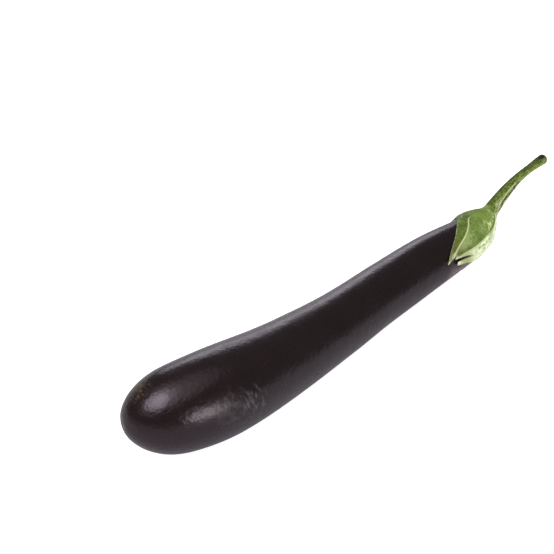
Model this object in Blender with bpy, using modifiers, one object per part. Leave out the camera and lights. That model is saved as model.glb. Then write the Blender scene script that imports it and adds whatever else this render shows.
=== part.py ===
"""A long dark eggplant as picked, lying on its side on the plane z = 0.

The fruit lies along X, with its blossom end at -X and its stem at +X. Places on it are given by
a station s, measured along X from the blossom end, and by an angle round the axis: 0 degrees is
the -Y side, 90 the top, 180 the +Y side and 270 the underside. Lengths are in metres.
"""
import math

import bmesh
import bpy
import numpy as np
from mathutils import Vector

# Fruit: radius, sideways bend and rise of the underside at a few stations along it
FRUIT_LENGTH = 0.290
FRUIT_RADIUS = ((0.000, 0.0198), (0.040, 0.0249), (0.080, 0.0231), (0.120, 0.0201),
                (0.160, 0.0180), (0.200, 0.0170), (0.240, 0.0153), (0.290, 0.0095))
FRUIT_BEND = ((0.000, 0.0180), (0.040, 0.0026), (0.090, -0.0024), (0.150, -0.0012),
              (0.220, 0.0011), (0.260, 0.0000), (0.290, 0.0044))
FRUIT_RISE = ((0.200, 0.0000), (0.240, 0.0027), (0.265, 0.0050), (0.290, 0.0094))
BLOSSOM_END_LENGTH = 0.0295
BLOSSOM_END_SQUARENESS = 2.5
STEM_END_LENGTH = 0.0237
STEM_END_SQUARENESS = 1.9
FLAT_DEPTH = 0.0004
FRUIT_SIDES = 40
FRUIT_RINGS = 52

# Stem: its middle line by station, its radius by length from the foot, and its ribs
STEM_START = 0.2925
STEM_END = 0.3497
STEM_BEND = ((0.2925, 0.0046), (0.3200, 0.0068), (0.3497, 0.0091))
STEM_HEIGHT = ((0.2925, 0.0213), (0.3047, 0.0259), (0.3180, 0.0288), (0.3320, 0.0296),
               (0.3497, 0.0298))
STEM_RADIUS = ((0.000, 0.0044), (0.010, 0.0036), (0.020, 0.0030), (0.034, 0.0026),
               (0.048, 0.0026), (0.056, 0.0030), (0.060, 0.0029))
STEM_CUT_BEVEL = 0.0006
STEM_SIDES = 30
STEM_RINGS = 26
STEM_RIB_COUNT = 5
STEM_RIB_HEIGHT = 0.00022
CORK_ANGLE = 335.0
CORK_SPREAD = 16.0
CORK_HEIGHT = 0.0006
CORK_START = 0.002
CORK_END = 0.028

# Calyx: a shell close on the fruit, measured as a distance from the fruit's stem end along the skin
SKIN_GAP = 0.00035
RIM_THICKNESS = 0.0007
CROWN_THICKNESS = 0.0015
CROWN_REACH = 0.022
COLLAR_RADIUS = 0.0047
COLLAR_DROP = 0.0040
CROWN_PULL = 0.0070
CROWN_AIM = 0.0020
SHELL_START = 0.015
CALYX_COLUMNS = 88
COLLAR_RINGS = 2
CROWN_RINGS = 6
OUTER_RINGS = 16
INNER_RINGS = 18
INNER_SPACING = 1.4

# Rim of the calyx: tips and clefts in turn, as (angle, distance, columns up to the next one)
RIM_CORNERS = ((24.0, 0.0684, 28), (154.0, 0.0270, 9), (190.0, 0.0500, 6), (212.0, 0.0290, 8),
               (244.0, 0.0560, 6), (268.0, 0.0310, 7), (294.0, 0.0460, 7), (326.0, 0.0360, 11),
               (371.5, 0.0605, 2), (369.5, 0.0470, 4))
RIM_CURVE = 1.3

# Raised ribs of the calyx: the height of each, and the line that it follows, as (angle, distance)
RIB_HALF_WIDTH = 0.0045
RIB_SHARPNESS = 1.7
RIB_FADE_START = 0.009
RIB_FADE_END = 0.024
RIBS = (
    (0.0011, ((102.0, 0.010), (86.0, 0.0325), (63.0, 0.0425), (42.0, 0.0566), (31.0, 0.062))),
    (0.0015, ((70.0, 0.008), (32.0, 0.0205), (18.0, 0.028), (22.0, 0.040), (27.0, 0.058))),
    (0.0010, ((345.0, 0.012), (352.0, 0.030), (11.0, 0.057))),
    (0.0011, ((296.0, 0.012), (300.0, 0.028), (294.0, 0.043))),
    (0.0012, ((236.0, 0.012), (247.0, 0.032), (244.0, 0.053))),
    (0.0012, ((184.0, 0.012), (182.0, 0.030), (190.0, 0.047))),
    (0.0010, ((142.0, 0.012), (128.0, 0.024), (104.0, 0.034))),
)


# Colour and roughness of each material, and how the meshes are joined and shaded
SKIN_FINISH = (0.020, 0.011, 0.017), 0.28
CALYX_FINISH = (0.160, 0.230, 0.060), 0.60
STEM_FINISH = (0.120, 0.190, 0.045), 0.62
MERGE_DISTANCE = 0.00001
SHARP_ANGLE = 50.0


def smooth_through(stations):
    """A natural cubic spline through (place, value) stations, given back as a function."""
    place, value = np.array(stations, float).T
    step = np.diff(place)
    slope = np.diff(value) / step
    count = len(place)
    matrix = np.eye(count)
    target = np.zeros(count)
    for i in range(1, count - 1):
        matrix[i, i - 1:i + 2] = step[i - 1], 2 * (step[i - 1] + step[i]), step[i]
        target[i] = 6 * (slope[i] - slope[i - 1])
    bend = np.linalg.solve(matrix, target)

    def at(x):
        i = int(np.clip(np.searchsorted(place, x) - 1, 0, count - 2))
        left = (place[i + 1] - x) / step[i]
        right = 1 - left
        curve = (left ** 3 - left) * bend[i] + (right ** 3 - right) * bend[i + 1]
        return float(left * value[i] + right * value[i + 1] + curve * step[i] ** 2 / 6)
    return at


def level_start(stations):
    """The same stations mirrored about the first one, so that a spline leaves it level."""
    first = stations[0][0]
    mirrored = [(2 * first - place, value) for place, value in reversed(stations[1:])]
    return mirrored + list(stations)


girth = smooth_through(FRUIT_RADIUS)
fruit_bend = smooth_through(FRUIT_BEND)
fruit_rise = smooth_through(level_start(FRUIT_RISE))
stem_girth = smooth_through(STEM_RADIUS)
stem_bend = smooth_through(STEM_BEND)
stem_height = smooth_through(STEM_HEIGHT)


def end_rounding(share, squareness):
    """How far a rounded end has opened, from 0 at its pole to 1 where it meets the body."""
    share = min(max(share, 0.0), 1.0)
    return math.sqrt(max(0.0, 1 - (1 - share) ** squareness))


def fruit_radius(s):
    blossom = end_rounding(s / BLOSSOM_END_LENGTH, BLOSSOM_END_SQUARENESS)
    stem_end = end_rounding((FRUIT_LENGTH - s) / STEM_END_LENGTH, STEM_END_SQUARENESS)
    return girth(s) * blossom * stem_end


def fruit_centre(s):
    """The fruit's middle line: level over the blossom end, and lifted off the plane at the stem."""
    rise = fruit_rise(s) if s > FRUIT_RISE[0][0] else 0.0
    height = girth(max(s, BLOSSOM_END_LENGTH)) - FLAT_DEPTH + rise
    return Vector((s, fruit_bend(s), height))


def stem_centre(x):
    return Vector((x, stem_bend(x), stem_height(x)))


def frame_at(centre, place, step=0.0005):
    """Middle point and the directions along, towards 0 degrees and towards 90 degrees."""
    along = (centre(place + step) - centre(place - step)).normalized()
    near = along.cross(Vector((0, 0, 1))).normalized()
    return centre(place), along, near, near.cross(along)


def ring_direction(near, up, angle):
    turn = math.radians(angle)
    return math.cos(turn) * near + math.sin(turn) * up


def turned_mesh(name, profile, sides):
    """A closed mesh turned round Z from a profile of (radius, height), listed from the top down."""
    curve = bpy.data.meshes.new(name + "_profile")
    edges = [(i, i + 1) for i in range(len(profile) - 1)]
    curve.from_pydata([(radius, 0, height) for radius, height in profile], edges, [])
    turned = bpy.data.objects.new(name + "_profile", curve)
    bpy.context.scene.collection.objects.link(turned)
    screw = turned.modifiers.new("Turn", "SCREW")
    screw.steps = screw.render_steps = sides
    screw.use_merge_vertices = True
    screw.merge_threshold = MERGE_DISTANCE
    bpy.context.view_layer.update()
    evaluated = turned.evaluated_get(bpy.context.evaluated_depsgraph_get())
    mesh = bpy.data.meshes.new_from_object(evaluated)
    mesh.name = name
    bpy.data.objects.remove(turned)
    bpy.data.meshes.remove(curve)
    return mesh


def add_object(name, mesh, material, collection):
    mesh.materials.clear()
    mesh.materials.append(material)
    mesh.shade_smooth()
    mesh.set_sharp_from_angle(angle=math.radians(SHARP_ANGLE))
    part = bpy.data.objects.new(name, mesh)
    collection.objects.link(part)
    return part


def make_material(name, finish):
    colour, roughness = finish
    material = bpy.data.materials.new(name)
    material.use_nodes = True
    shader = material.node_tree.nodes["Principled BSDF"]
    shader.inputs["Base Color"].default_value = (*colour, 1.0)
    shader.inputs["Roughness"].default_value = roughness
    shader.inputs["Metallic"].default_value = 0.0
    material.diffuse_color = (*colour, 1.0)
    return material


def flatten_underside(mesh):
    """Cuts the mesh off at z = 0 and closes the cut with one flat face."""
    work = bmesh.new()
    work.from_mesh(mesh)
    everything = work.verts[:] + work.edges[:] + work.faces[:]
    cut = bmesh.ops.bisect_plane(work, geom=everything, dist=MERGE_DISTANCE, plane_co=(0, 0, 0),
                                 plane_no=(0, 0, 1), clear_inner=True)["geom_cut"]
    for element in cut:
        if isinstance(element, bmesh.types.BMVert):
            element.co.z = 0.0
    border = [edge for edge in work.edges if edge.is_boundary]
    bmesh.ops.contextual_create(work, geom=border)
    bmesh.ops.recalc_face_normals(work, faces=work.faces[:])
    work.to_mesh(mesh)
    work.free()


def make_fruit(material, collection):
    """A turned body, bent along its middle line, with a narrow flat strip to lie on."""
    heights = [FRUIT_LENGTH * (0.5 + 0.5 * math.cos(math.pi * i / FRUIT_RINGS))
               for i in range(FRUIT_RINGS + 1)]
    mesh = turned_mesh("fruit", [(fruit_radius(s), s) for s in heights], FRUIT_SIDES)
    for vertex in mesh.vertices:
        x, y, s = vertex.co
        centre, _, near, up = frame_at(fruit_centre, s)
        vertex.co = centre - x * near + y * up
    mesh.update()
    flatten_underside(mesh)
    return add_object("fruit", mesh, material, collection)


def cork_height(length, angle):
    """The torn ridge low on the near side of the stem, fading out at both of its ends."""
    if not CORK_START < length < CORK_END:
        return 0.0
    away = abs((angle - CORK_ANGLE + 180) % 360 - 180) / CORK_SPREAD
    fade = math.sin(math.pi * (length - CORK_START) / (CORK_END - CORK_START))
    return CORK_HEIGHT * max(0.0, 1 - away) * math.sqrt(fade)


def make_stem(material, collection):
    """A turned stalk with lengthwise ribs and a torn ridge, bent along its own middle line."""
    stem_length = STEM_RADIUS[-1][0]
    profile = [(0.0, stem_length), (stem_girth(stem_length) - STEM_CUT_BEVEL, stem_length)]
    for i in range(STEM_RINGS + 1):
        length = (stem_length - STEM_CUT_BEVEL) * (1 - i / STEM_RINGS)
        profile.append((stem_girth(length), length))
    profile.append((0.0, 0.0))
    mesh = turned_mesh("stem", profile, STEM_SIDES)
    for vertex in mesh.vertices:
        x, y, length = vertex.co
        angle = math.degrees(math.atan2(y, -x))
        rib = STEM_RIB_HEIGHT * math.cos(math.radians(STEM_RIB_COUNT * angle))
        swell = 1 + (rib + cork_height(length, angle)) / stem_girth(length)
        place = STEM_START + (STEM_END - STEM_START) * length / stem_length
        centre, _, near, up = frame_at(stem_centre, place)
        vertex.co = centre + swell * math.hypot(x, y) * ring_direction(near, up, angle)
    mesh.update()
    return add_object("stem", mesh, material, collection)


def skin_line(samples=600):
    """The fruit's outline from its stem end back: distance along it, station, radius and normal."""
    station = FRUIT_LENGTH * (0.5 + 0.5 * np.cos(np.linspace(0, np.pi, samples)))
    radius = np.array([fruit_radius(s) for s in station])
    run = np.hypot(np.diff(station), np.diff(radius))
    distance = np.concatenate([[0], np.cumsum(run)])
    back = np.gradient(station, distance)
    out = np.gradient(radius, distance)
    return distance, station, radius, out, -back


SKIN = skin_line()


def over_skin(angle, distance, offset):
    """The point this far off the skin, at an angle and a distance from the stem end."""
    station, radius, ahead, out = (float(np.interp(distance, SKIN[0], column)) for column in SKIN[1:])
    centre, along, near, up = frame_at(fruit_centre, station)
    return centre + (radius + offset * out) * ring_direction(near, up, angle) + offset * ahead * along


def rim_of_column():
    """Angle and distance of the calyx's rim for each of its columns, starting at the first tip."""
    rim = []
    for i, (angle, distance, columns) in enumerate(RIM_CORNERS):
        next_angle, next_distance, _ = RIM_CORNERS[(i + 1) % len(RIM_CORNERS)]
        if i == len(RIM_CORNERS) - 1:
            next_angle += 360
        for step in range(columns):
            share = step / columns
            from_tip = distance > next_distance
            climb = 1 - (1 - share) ** RIM_CURVE if from_tip else share ** RIM_CURVE
            rim.append((angle + share * (next_angle - angle), distance + climb * (next_distance - distance)))
    return rim


def distance_to_line(angle, distance, line):
    """How far a place on the calyx is from a line on it, measured flat over the skin."""
    radius = float(np.interp(distance, SKIN[0], SKIN[2]))

    def flat(place):
        turn = (place[0] - angle + 180) % 360 - 180
        return Vector((math.radians(turn) * radius, place[1] - distance))
    gaps = []
    for start, end in zip(line, line[1:]):
        a, b = flat(start), flat(end)
        share = min(max(-a.dot(b - a) / (b - a).length_squared, 0.0), 1.0)
        gaps.append((a + share * (b - a)).length)
    return min(gaps)


def calyx_offset(angle, distance):
    """How far the calyx's outer face stands off the fruit's skin: thick crown, thin rim, ribs."""
    crown = max(0.0, 1 - distance / CROWN_REACH) ** 2
    offset = SKIN_GAP + RIM_THICKNESS + (CROWN_THICKNESS - RIM_THICKNESS) * crown
    fade = min(max((distance - RIB_FADE_START) / (RIB_FADE_END - RIB_FADE_START), 0.0), 1.0)
    for height, line in RIBS:
        away = distance_to_line(angle, distance, line) / RIB_HALF_WIDTH
        offset += fade * height * max(0.0, 1 - away) ** RIB_SHARPNESS
    return offset


def crown_curve(t, column_angle):
    """A point of the crown's side, from the collar at t = 0 to the shell on the fruit at t = 1."""
    foot, stem_way, near, up = frame_at(stem_centre, STEM_START)
    collar = foot - SKIN_GAP * stem_way + COLLAR_RADIUS * ring_direction(near, up, column_angle)
    shell, inward = (over_skin(column_angle, distance, calyx_offset(column_angle, distance))
                     for distance in (SHELL_START, SHELL_START - CROWN_AIM))
    pull = shell + CROWN_PULL * (inward - shell).normalized()
    points = collar, collar - COLLAR_DROP * stem_way, pull, shell
    weights = (1 - t) ** 3, 3 * t * (1 - t) ** 2, 3 * t * t * (1 - t), t ** 3
    return sum((weight * point for weight, point in zip(weights, points)), Vector())


def calyx_outside(step, column_angle, rim):
    """A point of the outer face: over the collar, down the crown and along the sepals to the rim."""
    if step <= COLLAR_RINGS:
        foot, stem_way, _, _ = frame_at(stem_centre, STEM_START)
        middle = foot - SKIN_GAP * stem_way
        return middle.lerp(crown_curve(0, column_angle), step / COLLAR_RINGS)
    step -= COLLAR_RINGS
    if step <= CROWN_RINGS:
        return crown_curve(step / CROWN_RINGS, column_angle)
    share = (step - CROWN_RINGS) / OUTER_RINGS
    angle = column_angle + (rim[0] - column_angle) * share
    distance = SHELL_START + (rim[1] - SHELL_START) * share
    return over_skin(angle, distance, calyx_offset(angle, distance))


def calyx_inside(step, column_angle, rim):
    """A point of the inner face, which follows the fruit's skin from the rim to the stem end."""
    share = (1 - step / INNER_RINGS) ** INNER_SPACING
    angle = column_angle + (rim[0] - column_angle) * share
    return over_skin(angle, rim[1] * share, SKIN_GAP)


def make_calyx(material, collection):
    """A ball pulled into a cap: its upper rings are the outside and its lower rings the inside."""
    outer_steps = COLLAR_RINGS + CROWN_RINGS + OUTER_RINGS
    rings = outer_steps + 1 + INNER_RINGS
    work = bmesh.new()
    bmesh.ops.create_uvsphere(work, u_segments=CALYX_COLUMNS, v_segments=rings, radius=1.0)
    rims = rim_of_column()
    for vertex in work.verts:
        ring = round(math.acos(max(-1, min(1, vertex.co.z))) / math.pi * rings)
        column = round(math.atan2(vertex.co.y, -vertex.co.x) / (2 * math.pi) * CALYX_COLUMNS) % CALYX_COLUMNS
        column_angle = RIM_CORNERS[0][0] + 360 * column / CALYX_COLUMNS
        if ring <= outer_steps:
            vertex.co = calyx_outside(ring, column_angle, rims[column])
        else:
            vertex.co = calyx_inside(ring - outer_steps - 1, column_angle, rims[column])
    bmesh.ops.recalc_face_normals(work, faces=work.faces[:])
    mesh = bpy.data.meshes.new("calyx")
    work.to_mesh(mesh)
    work.free()
    return add_object("calyx", mesh, material, collection)


def centre_on_origin(parts):
    """Moves the parts together, so that the origin is under the middle of the whole."""
    corners = [part.matrix_world @ vertex.co for part in parts for vertex in part.data.vertices]
    low = [min(corner[axis] for corner in corners) for axis in range(3)]
    high = [max(corner[axis] for corner in corners) for axis in range(3)]
    for part in parts:
        part.location = (-(low[0] + high[0]) / 2, -(low[1] + high[1]) / 2, -low[2])


def main():
    for leftover in list(bpy.data.objects):
        bpy.data.objects.remove(leftover)
    collection = bpy.data.collections.new("eggplant")
    bpy.context.scene.collection.children.link(collection)
    skin = make_material("fruit_skin", SKIN_FINISH)
    green = make_material("calyx_green", CALYX_FINISH)
    stalk = make_material("stem_green", STEM_FINISH)
    parts = [make_fruit(skin, collection), make_calyx(green, collection), make_stem(stalk, collection)]
    centre_on_origin(parts)


main()
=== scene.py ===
"""Looks of a long dark eggplant as picked: waxy skin, a ribbed green calyx and a torn green stem.

Places on the fruit are a station along X from the blossom end and an angle round its axis: 0
degrees is the -Y side, 90 the top, 180 the +Y side and 270 underneath. Places on the calyx are an
angle and a distance along the skin from the fruit's stem end. Lengths are in metres.
"""
import math
import random

import bmesh
import bpy
import numpy as np
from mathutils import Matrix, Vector, noise


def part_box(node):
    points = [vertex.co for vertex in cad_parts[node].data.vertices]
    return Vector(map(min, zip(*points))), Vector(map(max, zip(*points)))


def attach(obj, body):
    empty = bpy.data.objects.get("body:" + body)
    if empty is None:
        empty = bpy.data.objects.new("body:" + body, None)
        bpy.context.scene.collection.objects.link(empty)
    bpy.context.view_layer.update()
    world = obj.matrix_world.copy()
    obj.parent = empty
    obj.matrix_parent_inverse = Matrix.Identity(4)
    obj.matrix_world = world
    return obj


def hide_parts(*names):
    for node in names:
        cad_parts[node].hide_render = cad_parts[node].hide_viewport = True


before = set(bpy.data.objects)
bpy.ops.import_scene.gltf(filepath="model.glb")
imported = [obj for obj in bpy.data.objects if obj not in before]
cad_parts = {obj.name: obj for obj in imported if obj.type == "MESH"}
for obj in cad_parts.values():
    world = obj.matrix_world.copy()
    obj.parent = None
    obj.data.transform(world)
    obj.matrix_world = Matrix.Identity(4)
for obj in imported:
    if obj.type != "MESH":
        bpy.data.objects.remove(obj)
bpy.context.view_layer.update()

# Photograph's view: where the camera looks on the surface, from which side and how far
VIEW_AZIMUTH = -45.0
VIEW_ELEVATION = 38.0
VIEW_DISTANCE = 0.90
VIEW_AIM = (0.1675, 0.0705, 0.0)
LENS = 94.97

# Fruit: radius, sideways bend and rise of the underside at a few stations along it
FRUIT_LENGTH = 0.290
FRUIT_RADIUS = ((0.000, 0.0198), (0.040, 0.0249), (0.080, 0.0231), (0.120, 0.0201),
                (0.160, 0.0180), (0.200, 0.0170), (0.240, 0.0153), (0.290, 0.0095))
FRUIT_BEND = ((0.000, 0.0180), (0.040, 0.0026), (0.090, -0.0024), (0.150, -0.0012),
              (0.220, 0.0011), (0.260, 0.0000), (0.290, 0.0044))
FRUIT_RISE = ((0.200, 0.0000), (0.240, 0.0027), (0.265, 0.0050), (0.290, 0.0094))
BLOSSOM_END_LENGTH = 0.0295
BLOSSOM_END_SQUARENESS = 2.5
STEM_END_LENGTH = 0.0237
STEM_END_SQUARENESS = 1.9
FLAT_DEPTH = 0.0004
BLOSSOM_END_BLEND = 0.010
BLOSSOM_SCAR_DEPTH = 0.0006
BLOSSOM_SCAR_RADIUS = 0.0032
SWELL_HEIGHT = 0.0003
SWELL_SIZE = 0.035
SETTLE_ROUNDING = 0.0003
FRUIT_RINGS = 300
FRUIT_SIDES = 180

# Marks on the skin: station, angle, radius and raggedness of each
WINE_TINT = (0.020, 20.0, 0.050, 0.3)
PALE_SHOULDER = (0.238, 342.0, 0.0125, 0.4)
SLIT_SHADE = (0.2385, 12.0, 0.0075, 0.2)
PALE_SCAR = (0.011, 106.0, 0.010, 0.7)
SCUFF = (0.060, 14.0, 0.0125, 1.2)
SMEAR = (0.048, 19.0, 0.015, 1.0)

# How the patterns on the skin and in the leaf tissue are stretched, turned and bent
STREAK_STRETCH = (0.05, 1.0, 1.0)
SCUFF_TURN = (-0.58, 0.0, 0.15)
SCUFF_STRETCH = (1.0, 1.0, 4.0)
VEIN_BEND = 0.0016

# Stem: its middle line by station and its radius by length from the foot
STEM_START = 0.2925
STEM_END = 0.3516
STEM_BEND = ((0.2925, 0.0046), (0.3200, 0.0068), (0.3516, 0.0092))
STEM_HEIGHT = ((0.2925, 0.0213), (0.3047, 0.0266), (0.3180, 0.0298), (0.3320, 0.0306),
               (0.3516, 0.0301))
STEM_RADIUS = ((0.000, 0.0046), (0.010, 0.0039), (0.020, 0.0033), (0.034, 0.0028),
               (0.048, 0.0028), (0.056, 0.0032), (0.0615, 0.0034))
STEM_LENGTH = 0.0615
STEM_RIB_COUNT = 5
STEM_RIB_TURN = 70.0
STEM_RIB_HEIGHT = 0.00022
STEM_RIB_FADE = 0.050
STEM_END_ROUNDING = 0.0021
STEM_RINGS = 210
STEM_SIDES = 200
STEM_OVERLAP = 0.0006
STEM_TUCK = 0.93
STEM_LUMP_HEIGHT = 0.00010
STEM_LUMP_SIZE = 0.0025
STEM_GRAIN = 0.016

# Torn corky strip low on the near side of the stem
CORK_ANGLE = 4.0
CORK_SPREAD = 42.0
CORK_HEIGHT = 0.0003
CORK_START = 0.002
CORK_END = 0.028
CORK_LUMP_SIZE = 0.0011

# Cut end of the stem: share of its radius and depth for the rings that close it
CUT_FACE = ((0.93, 0.00010), (0.84, 0.00005), (0.70, -0.0001), (0.52, -0.0002), (0.34, -0.0001),
            (0.18, -0.0003))
CUT_LUMP_HEIGHT = 0.00015
CUT_LUMP_SIZE = 0.0008

# Torn fibres: angle, slant over its run, start, stop and radius of each
FIBRES = (
    (29.0, 14.0, 0.0000, 0.0235, 0.00026), (27.0, 4.0, 0.0000, 0.0060, 0.00016),
    (26.0, 9.0, 0.0150, 0.0230, 0.00022), (18.0, 4.0, 0.0000, 0.0045, 0.00020),
    (354.0, 12.0, 0.0020, 0.0120, 0.00018), (348.0, 5.0, 0.0000, 0.0070, 0.00024),
    (344.0, 10.0, 0.0100, 0.0170, 0.00022), (338.0, -3.0, 0.0000, 0.0095, 0.00024),
    (334.0, 6.0, 0.0140, 0.0225, 0.00028), (328.0, 2.0, 0.0040, 0.0130, 0.00024),
    (320.0, 8.0, 0.0090, 0.0190, 0.00022), (314.0, -5.0, 0.0000, 0.0120, 0.00020),
    (47.0, 4.0, 0.0060, 0.0110, 0.00012), (37.0, 7.0, 0.0020, 0.0090, 0.00013),
    (53.0, 3.0, 0.0004, 0.0042, 0.00013), (45.0, -2.0, 0.0018, 0.0068, 0.00014),
    (59.0, 2.0, 0.0012, 0.0046, 0.00011), (41.0, 4.0, 0.0000, 0.0036, 0.00015),
    (63.0, -3.0, 0.0044, 0.0082, 0.00010), (52.0, 2.0, 0.0092, 0.0128, 0.00010),
)

# Flakes on the calyx's crown below them: angle, start and stop as shares of the crown, and radius
CROWN_FLAKES = (
    (34.0, 0.00, 0.30, 0.00014), (24.0, 0.10, 0.55, 0.00015), (14.0, 0.00, 0.40, 0.00018),
    (4.0, 0.14, 0.50, 0.00018), (354.0, 0.00, 0.34, 0.00020), (342.0, 0.20, 0.60, 0.00018),
)
FIBRE_POINTS = 26
FIBRE_SIDES = 7
FIBRE_STANDING = 0.00035
FIBRE_WAVER = 0.0005
FIBRE_WAVER_SIZE = 0.004
FIBRE_STRAY = 1.5
FLAKE_GRID = 2.0
FIBRE_SEED = 5

# Calyx: a shell close on the fruit
SKIN_GAP = 0.00035
RIM_THICKNESS = 0.0007
CROWN_THICKNESS = 0.0015
CROWN_REACH = 0.022
COLLAR_DROP = 0.0040
CROWN_PULL = 0.0070
CROWN_AIM = 0.0020
SHELL_START = 0.015
CALYX_COLUMNS = 400
CALYX_BELLY = 0.0005
CROWN_RINGS = 36
OUTER_RINGS = 120
INNER_RINGS = 34
INNER_SPACING = 1.4

# Rim of the calyx: tips and clefts in turn, as angle, distance, columns up to the next one, and how
# far the column that ends there leans aside on its way
RIM_CORNERS = ((25.0, 0.0684, 118, 9.0), (154.0, 0.0270, 40, 0.0), (190.0, 0.0500, 28, 0.0),
               (212.0, 0.0290, 35, 0.0), (244.0, 0.0560, 28, 0.0), (268.0, 0.0310, 32, 0.0),
               (294.0, 0.0460, 32, 0.0), (326.0, 0.0360, 38, 0.0), (370.0, 0.0601, 5, 0.0),
               (377.0, 0.0596, 13, 0.0), (365.4, 0.0473, 3, 0.0), (368.7, 0.0466, 14, 0.0),
               (385.5, 0.0613, 6, 0.0), (391.5, 0.0588, 8, 0.0))
RIM_CURVE = 1.3
RIM_WAVE = 0.0004
RIM_THINNING = 0.0003
RIM_SLOPE = 0.0025
RIM_BULGE = 0.00012
CALYX_FRONT = 60.0
CALYX_GRAIN = 0.120
FLOOR_GAP = 0.0002
WRINKLES = ((0.00009, 0.0022, 1.0), (0.00018, 0.0060, 2.0))

# Raised ribs of the calyx: height, slope width on each side, and the line as (angle, distance)
STRIP_RIB = ((90.0, 0.0290), (88.0, 0.0322), (73.5, 0.0381), (61.5, 0.0433), (51.0, 0.0491),
             (43.5, 0.0545), (37.0, 0.0587), (33.5, 0.0615))
FOLD_RIB = ((52.0, 0.0025), (46.0, 0.0061), (41.0, 0.0100), (36.5, 0.0144), (31.5, 0.0187),
            (28.5, 0.0230), (26.8, 0.0280), (25.0, 0.0345), (24.0, 0.0400), (23.5, 0.0460), (24.0, 0.0510),
            (25.5, 0.0590))
RIBS = (
    (0.0005, 0.0005, 0.0011, STRIP_RIB),
    (0.0009, 0.0009, 0.0045, FOLD_RIB),
    (0.0007, 0.0012, 0.0020, ((346.0, 0.016), (357.0, 0.0300), (370.0, 0.0560))),
    (0.0011, 0.0020, 0.0020, ((296.0, 0.012), (300.0, 0.0280), (294.0, 0.0440))),
    (0.0012, 0.0020, 0.0020, ((236.0, 0.012), (247.0, 0.0320), (244.0, 0.0540))),
    (0.0012, 0.0020, 0.0020, ((184.0, 0.012), (182.0, 0.0300), (190.0, 0.0480))),
    (0.0002, 0.0018, 0.0018, ((142.0, 0.012), (128.0, 0.0240), (104.0, 0.0340))),
)
RIB_FADE = 0.006
CREST_WIDTH = 0.00028
CREST_FULL_HEIGHT = 0.0005

# Faint dark dashes beside the fold rib, as (angle, distance)
SECOND_LINE = ((11.5, 0.0262), (14.0, 0.0300), (15.5, 0.0340), (16.5, 0.0389))
DASH_LENGTH = 0.00062

# Brownish stain low on the lower sepal, at an angle and a distance
STAIN_PLACE = (2.0, 0.0525)
STAIN_RADIUS = 0.0045

# Sepal tips that stand off the skin, as (angle, distance, lift)
TIP_LIFTS = ((25.0, 0.0684, 0.0004), (190.0, 0.0500, 0.0013), (244.0, 0.0560, 0.0009),
             (294.0, 0.0460, 0.0006), (12.5, 0.0608, 0.0007), (25.5, 0.0613, 0.0010))
TIP_REACH = 0.010
TIP_WIDTH = 0.0035
TIP_DRYNESS = 0.0022
LEAN_POWER = 6.0

# Studio: a pale round sweep, a dim room and soft lamps, each by place, width, height, radiance,
# whether it shows in glossy surfaces, and its tint
SWEEP_RADIUS = 2.6
SWEEP_HEIGHT = 1.15
SWEEP_ROUNDING = 0.7
SWEEP_DROP = 0.0001
SWEEP_SHADE = 0.38
SWEEP_GLOW = 0.91
SHEEN_FLOOR_SHADE = 0.25
SHEEN_FLOOR_GLOW = 0.28
SHEEN_FLOOR_TINT = (1.0, 0.92, 1.08)
ROOM_LIGHT = 0.115
PLAIN = (1.0, 1.0, 1.0)
COOL = (1.0, 0.96, 1.06)
LAMPS = (
    ("front_softbox", (-0.27, -1.30, 0.28), 0.56, 0.62, 7.2, True, PLAIN),
    ("back_softbox", (-0.82, 0.18, 1.15), 0.94, 0.94, 5.6, True, COOL),
    ("back_halo", (-0.66, 0.12, 1.24), 1.60, 1.60, 0.60, True, COOL),
    ("side_strip", (0.86, 1.22, 0.36), 1.00, 0.54, 2.6, True, COOL),
    ("overhead_sheen", (-0.25, 0.0, 2.00), 2.20, 2.20, 0.55, True, PLAIN),
    ("overhead_fill", (0.0, 0.0, 2.20), 4.00, 4.00, 1.26, False, PLAIN),
)


def smooth_through(stations):
    """A natural cubic spline through (place, value) stations, given back as a function."""
    place, value = np.array(stations, float).T
    step = np.diff(place)
    slope = np.diff(value) / step
    count = len(place)
    matrix = np.eye(count)
    target = np.zeros(count)
    for i in range(1, count - 1):
        matrix[i, i - 1:i + 2] = step[i - 1], 2 * (step[i - 1] + step[i]), step[i]
        target[i] = 6 * (slope[i] - slope[i - 1])
    bend = np.linalg.solve(matrix, target)

    def at(x):
        i = np.clip(np.searchsorted(place, x) - 1, 0, count - 2)
        left = (place[i + 1] - x) / step[i]
        right = 1 - left
        curve = (left ** 3 - left) * bend[i] + (right ** 3 - right) * bend[i + 1]
        return left * value[i] + right * value[i + 1] + curve * step[i] ** 2 / 6
    return at


def level_start(stations):
    """The same stations mirrored about the first one, so that a spline leaves it level."""
    first = stations[0][0]
    mirrored = [(2 * first - place, value) for place, value in reversed(stations[1:])]
    return mirrored + list(stations)


girth = smooth_through(FRUIT_RADIUS)
fruit_bend = smooth_through(FRUIT_BEND)
fruit_rise = smooth_through(level_start(FRUIT_RISE))
stem_girth = smooth_through(STEM_RADIUS)
stem_bend = smooth_through(STEM_BEND)
stem_height = smooth_through(STEM_HEIGHT)


def soft_step(value, low, high):
    """0 below low, 1 above high and smooth between."""
    t = np.clip((value - low) / (high - low), 0, 1)
    return t * t * (3 - 2 * t)


def window(value, low_out, low_in, high_in, high_out):
    """1 between the inner limits, 0 outside the outer ones and smooth between."""
    return soft_step(value, low_out, low_in) * soft_step(value, high_out, high_in)


def bell(value, width):
    """1 where the value is 0, and less and less to both sides of it."""
    return np.exp(-(value / width) ** 2)


def soft_maximum(value, floor, blend):
    return 0.5 * (value + floor + np.sqrt((value - floor) ** 2 + blend ** 2))


def turn_between(angle, other):
    """The signed turn in degrees from one angle to another, at most half a turn either way."""
    return (angle - other + 180) % 360 - 180


def end_rounding(share, squareness):
    return np.sqrt(np.clip(1 - (1 - np.clip(share, 0, 1)) ** squareness, 0, 1))


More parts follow.
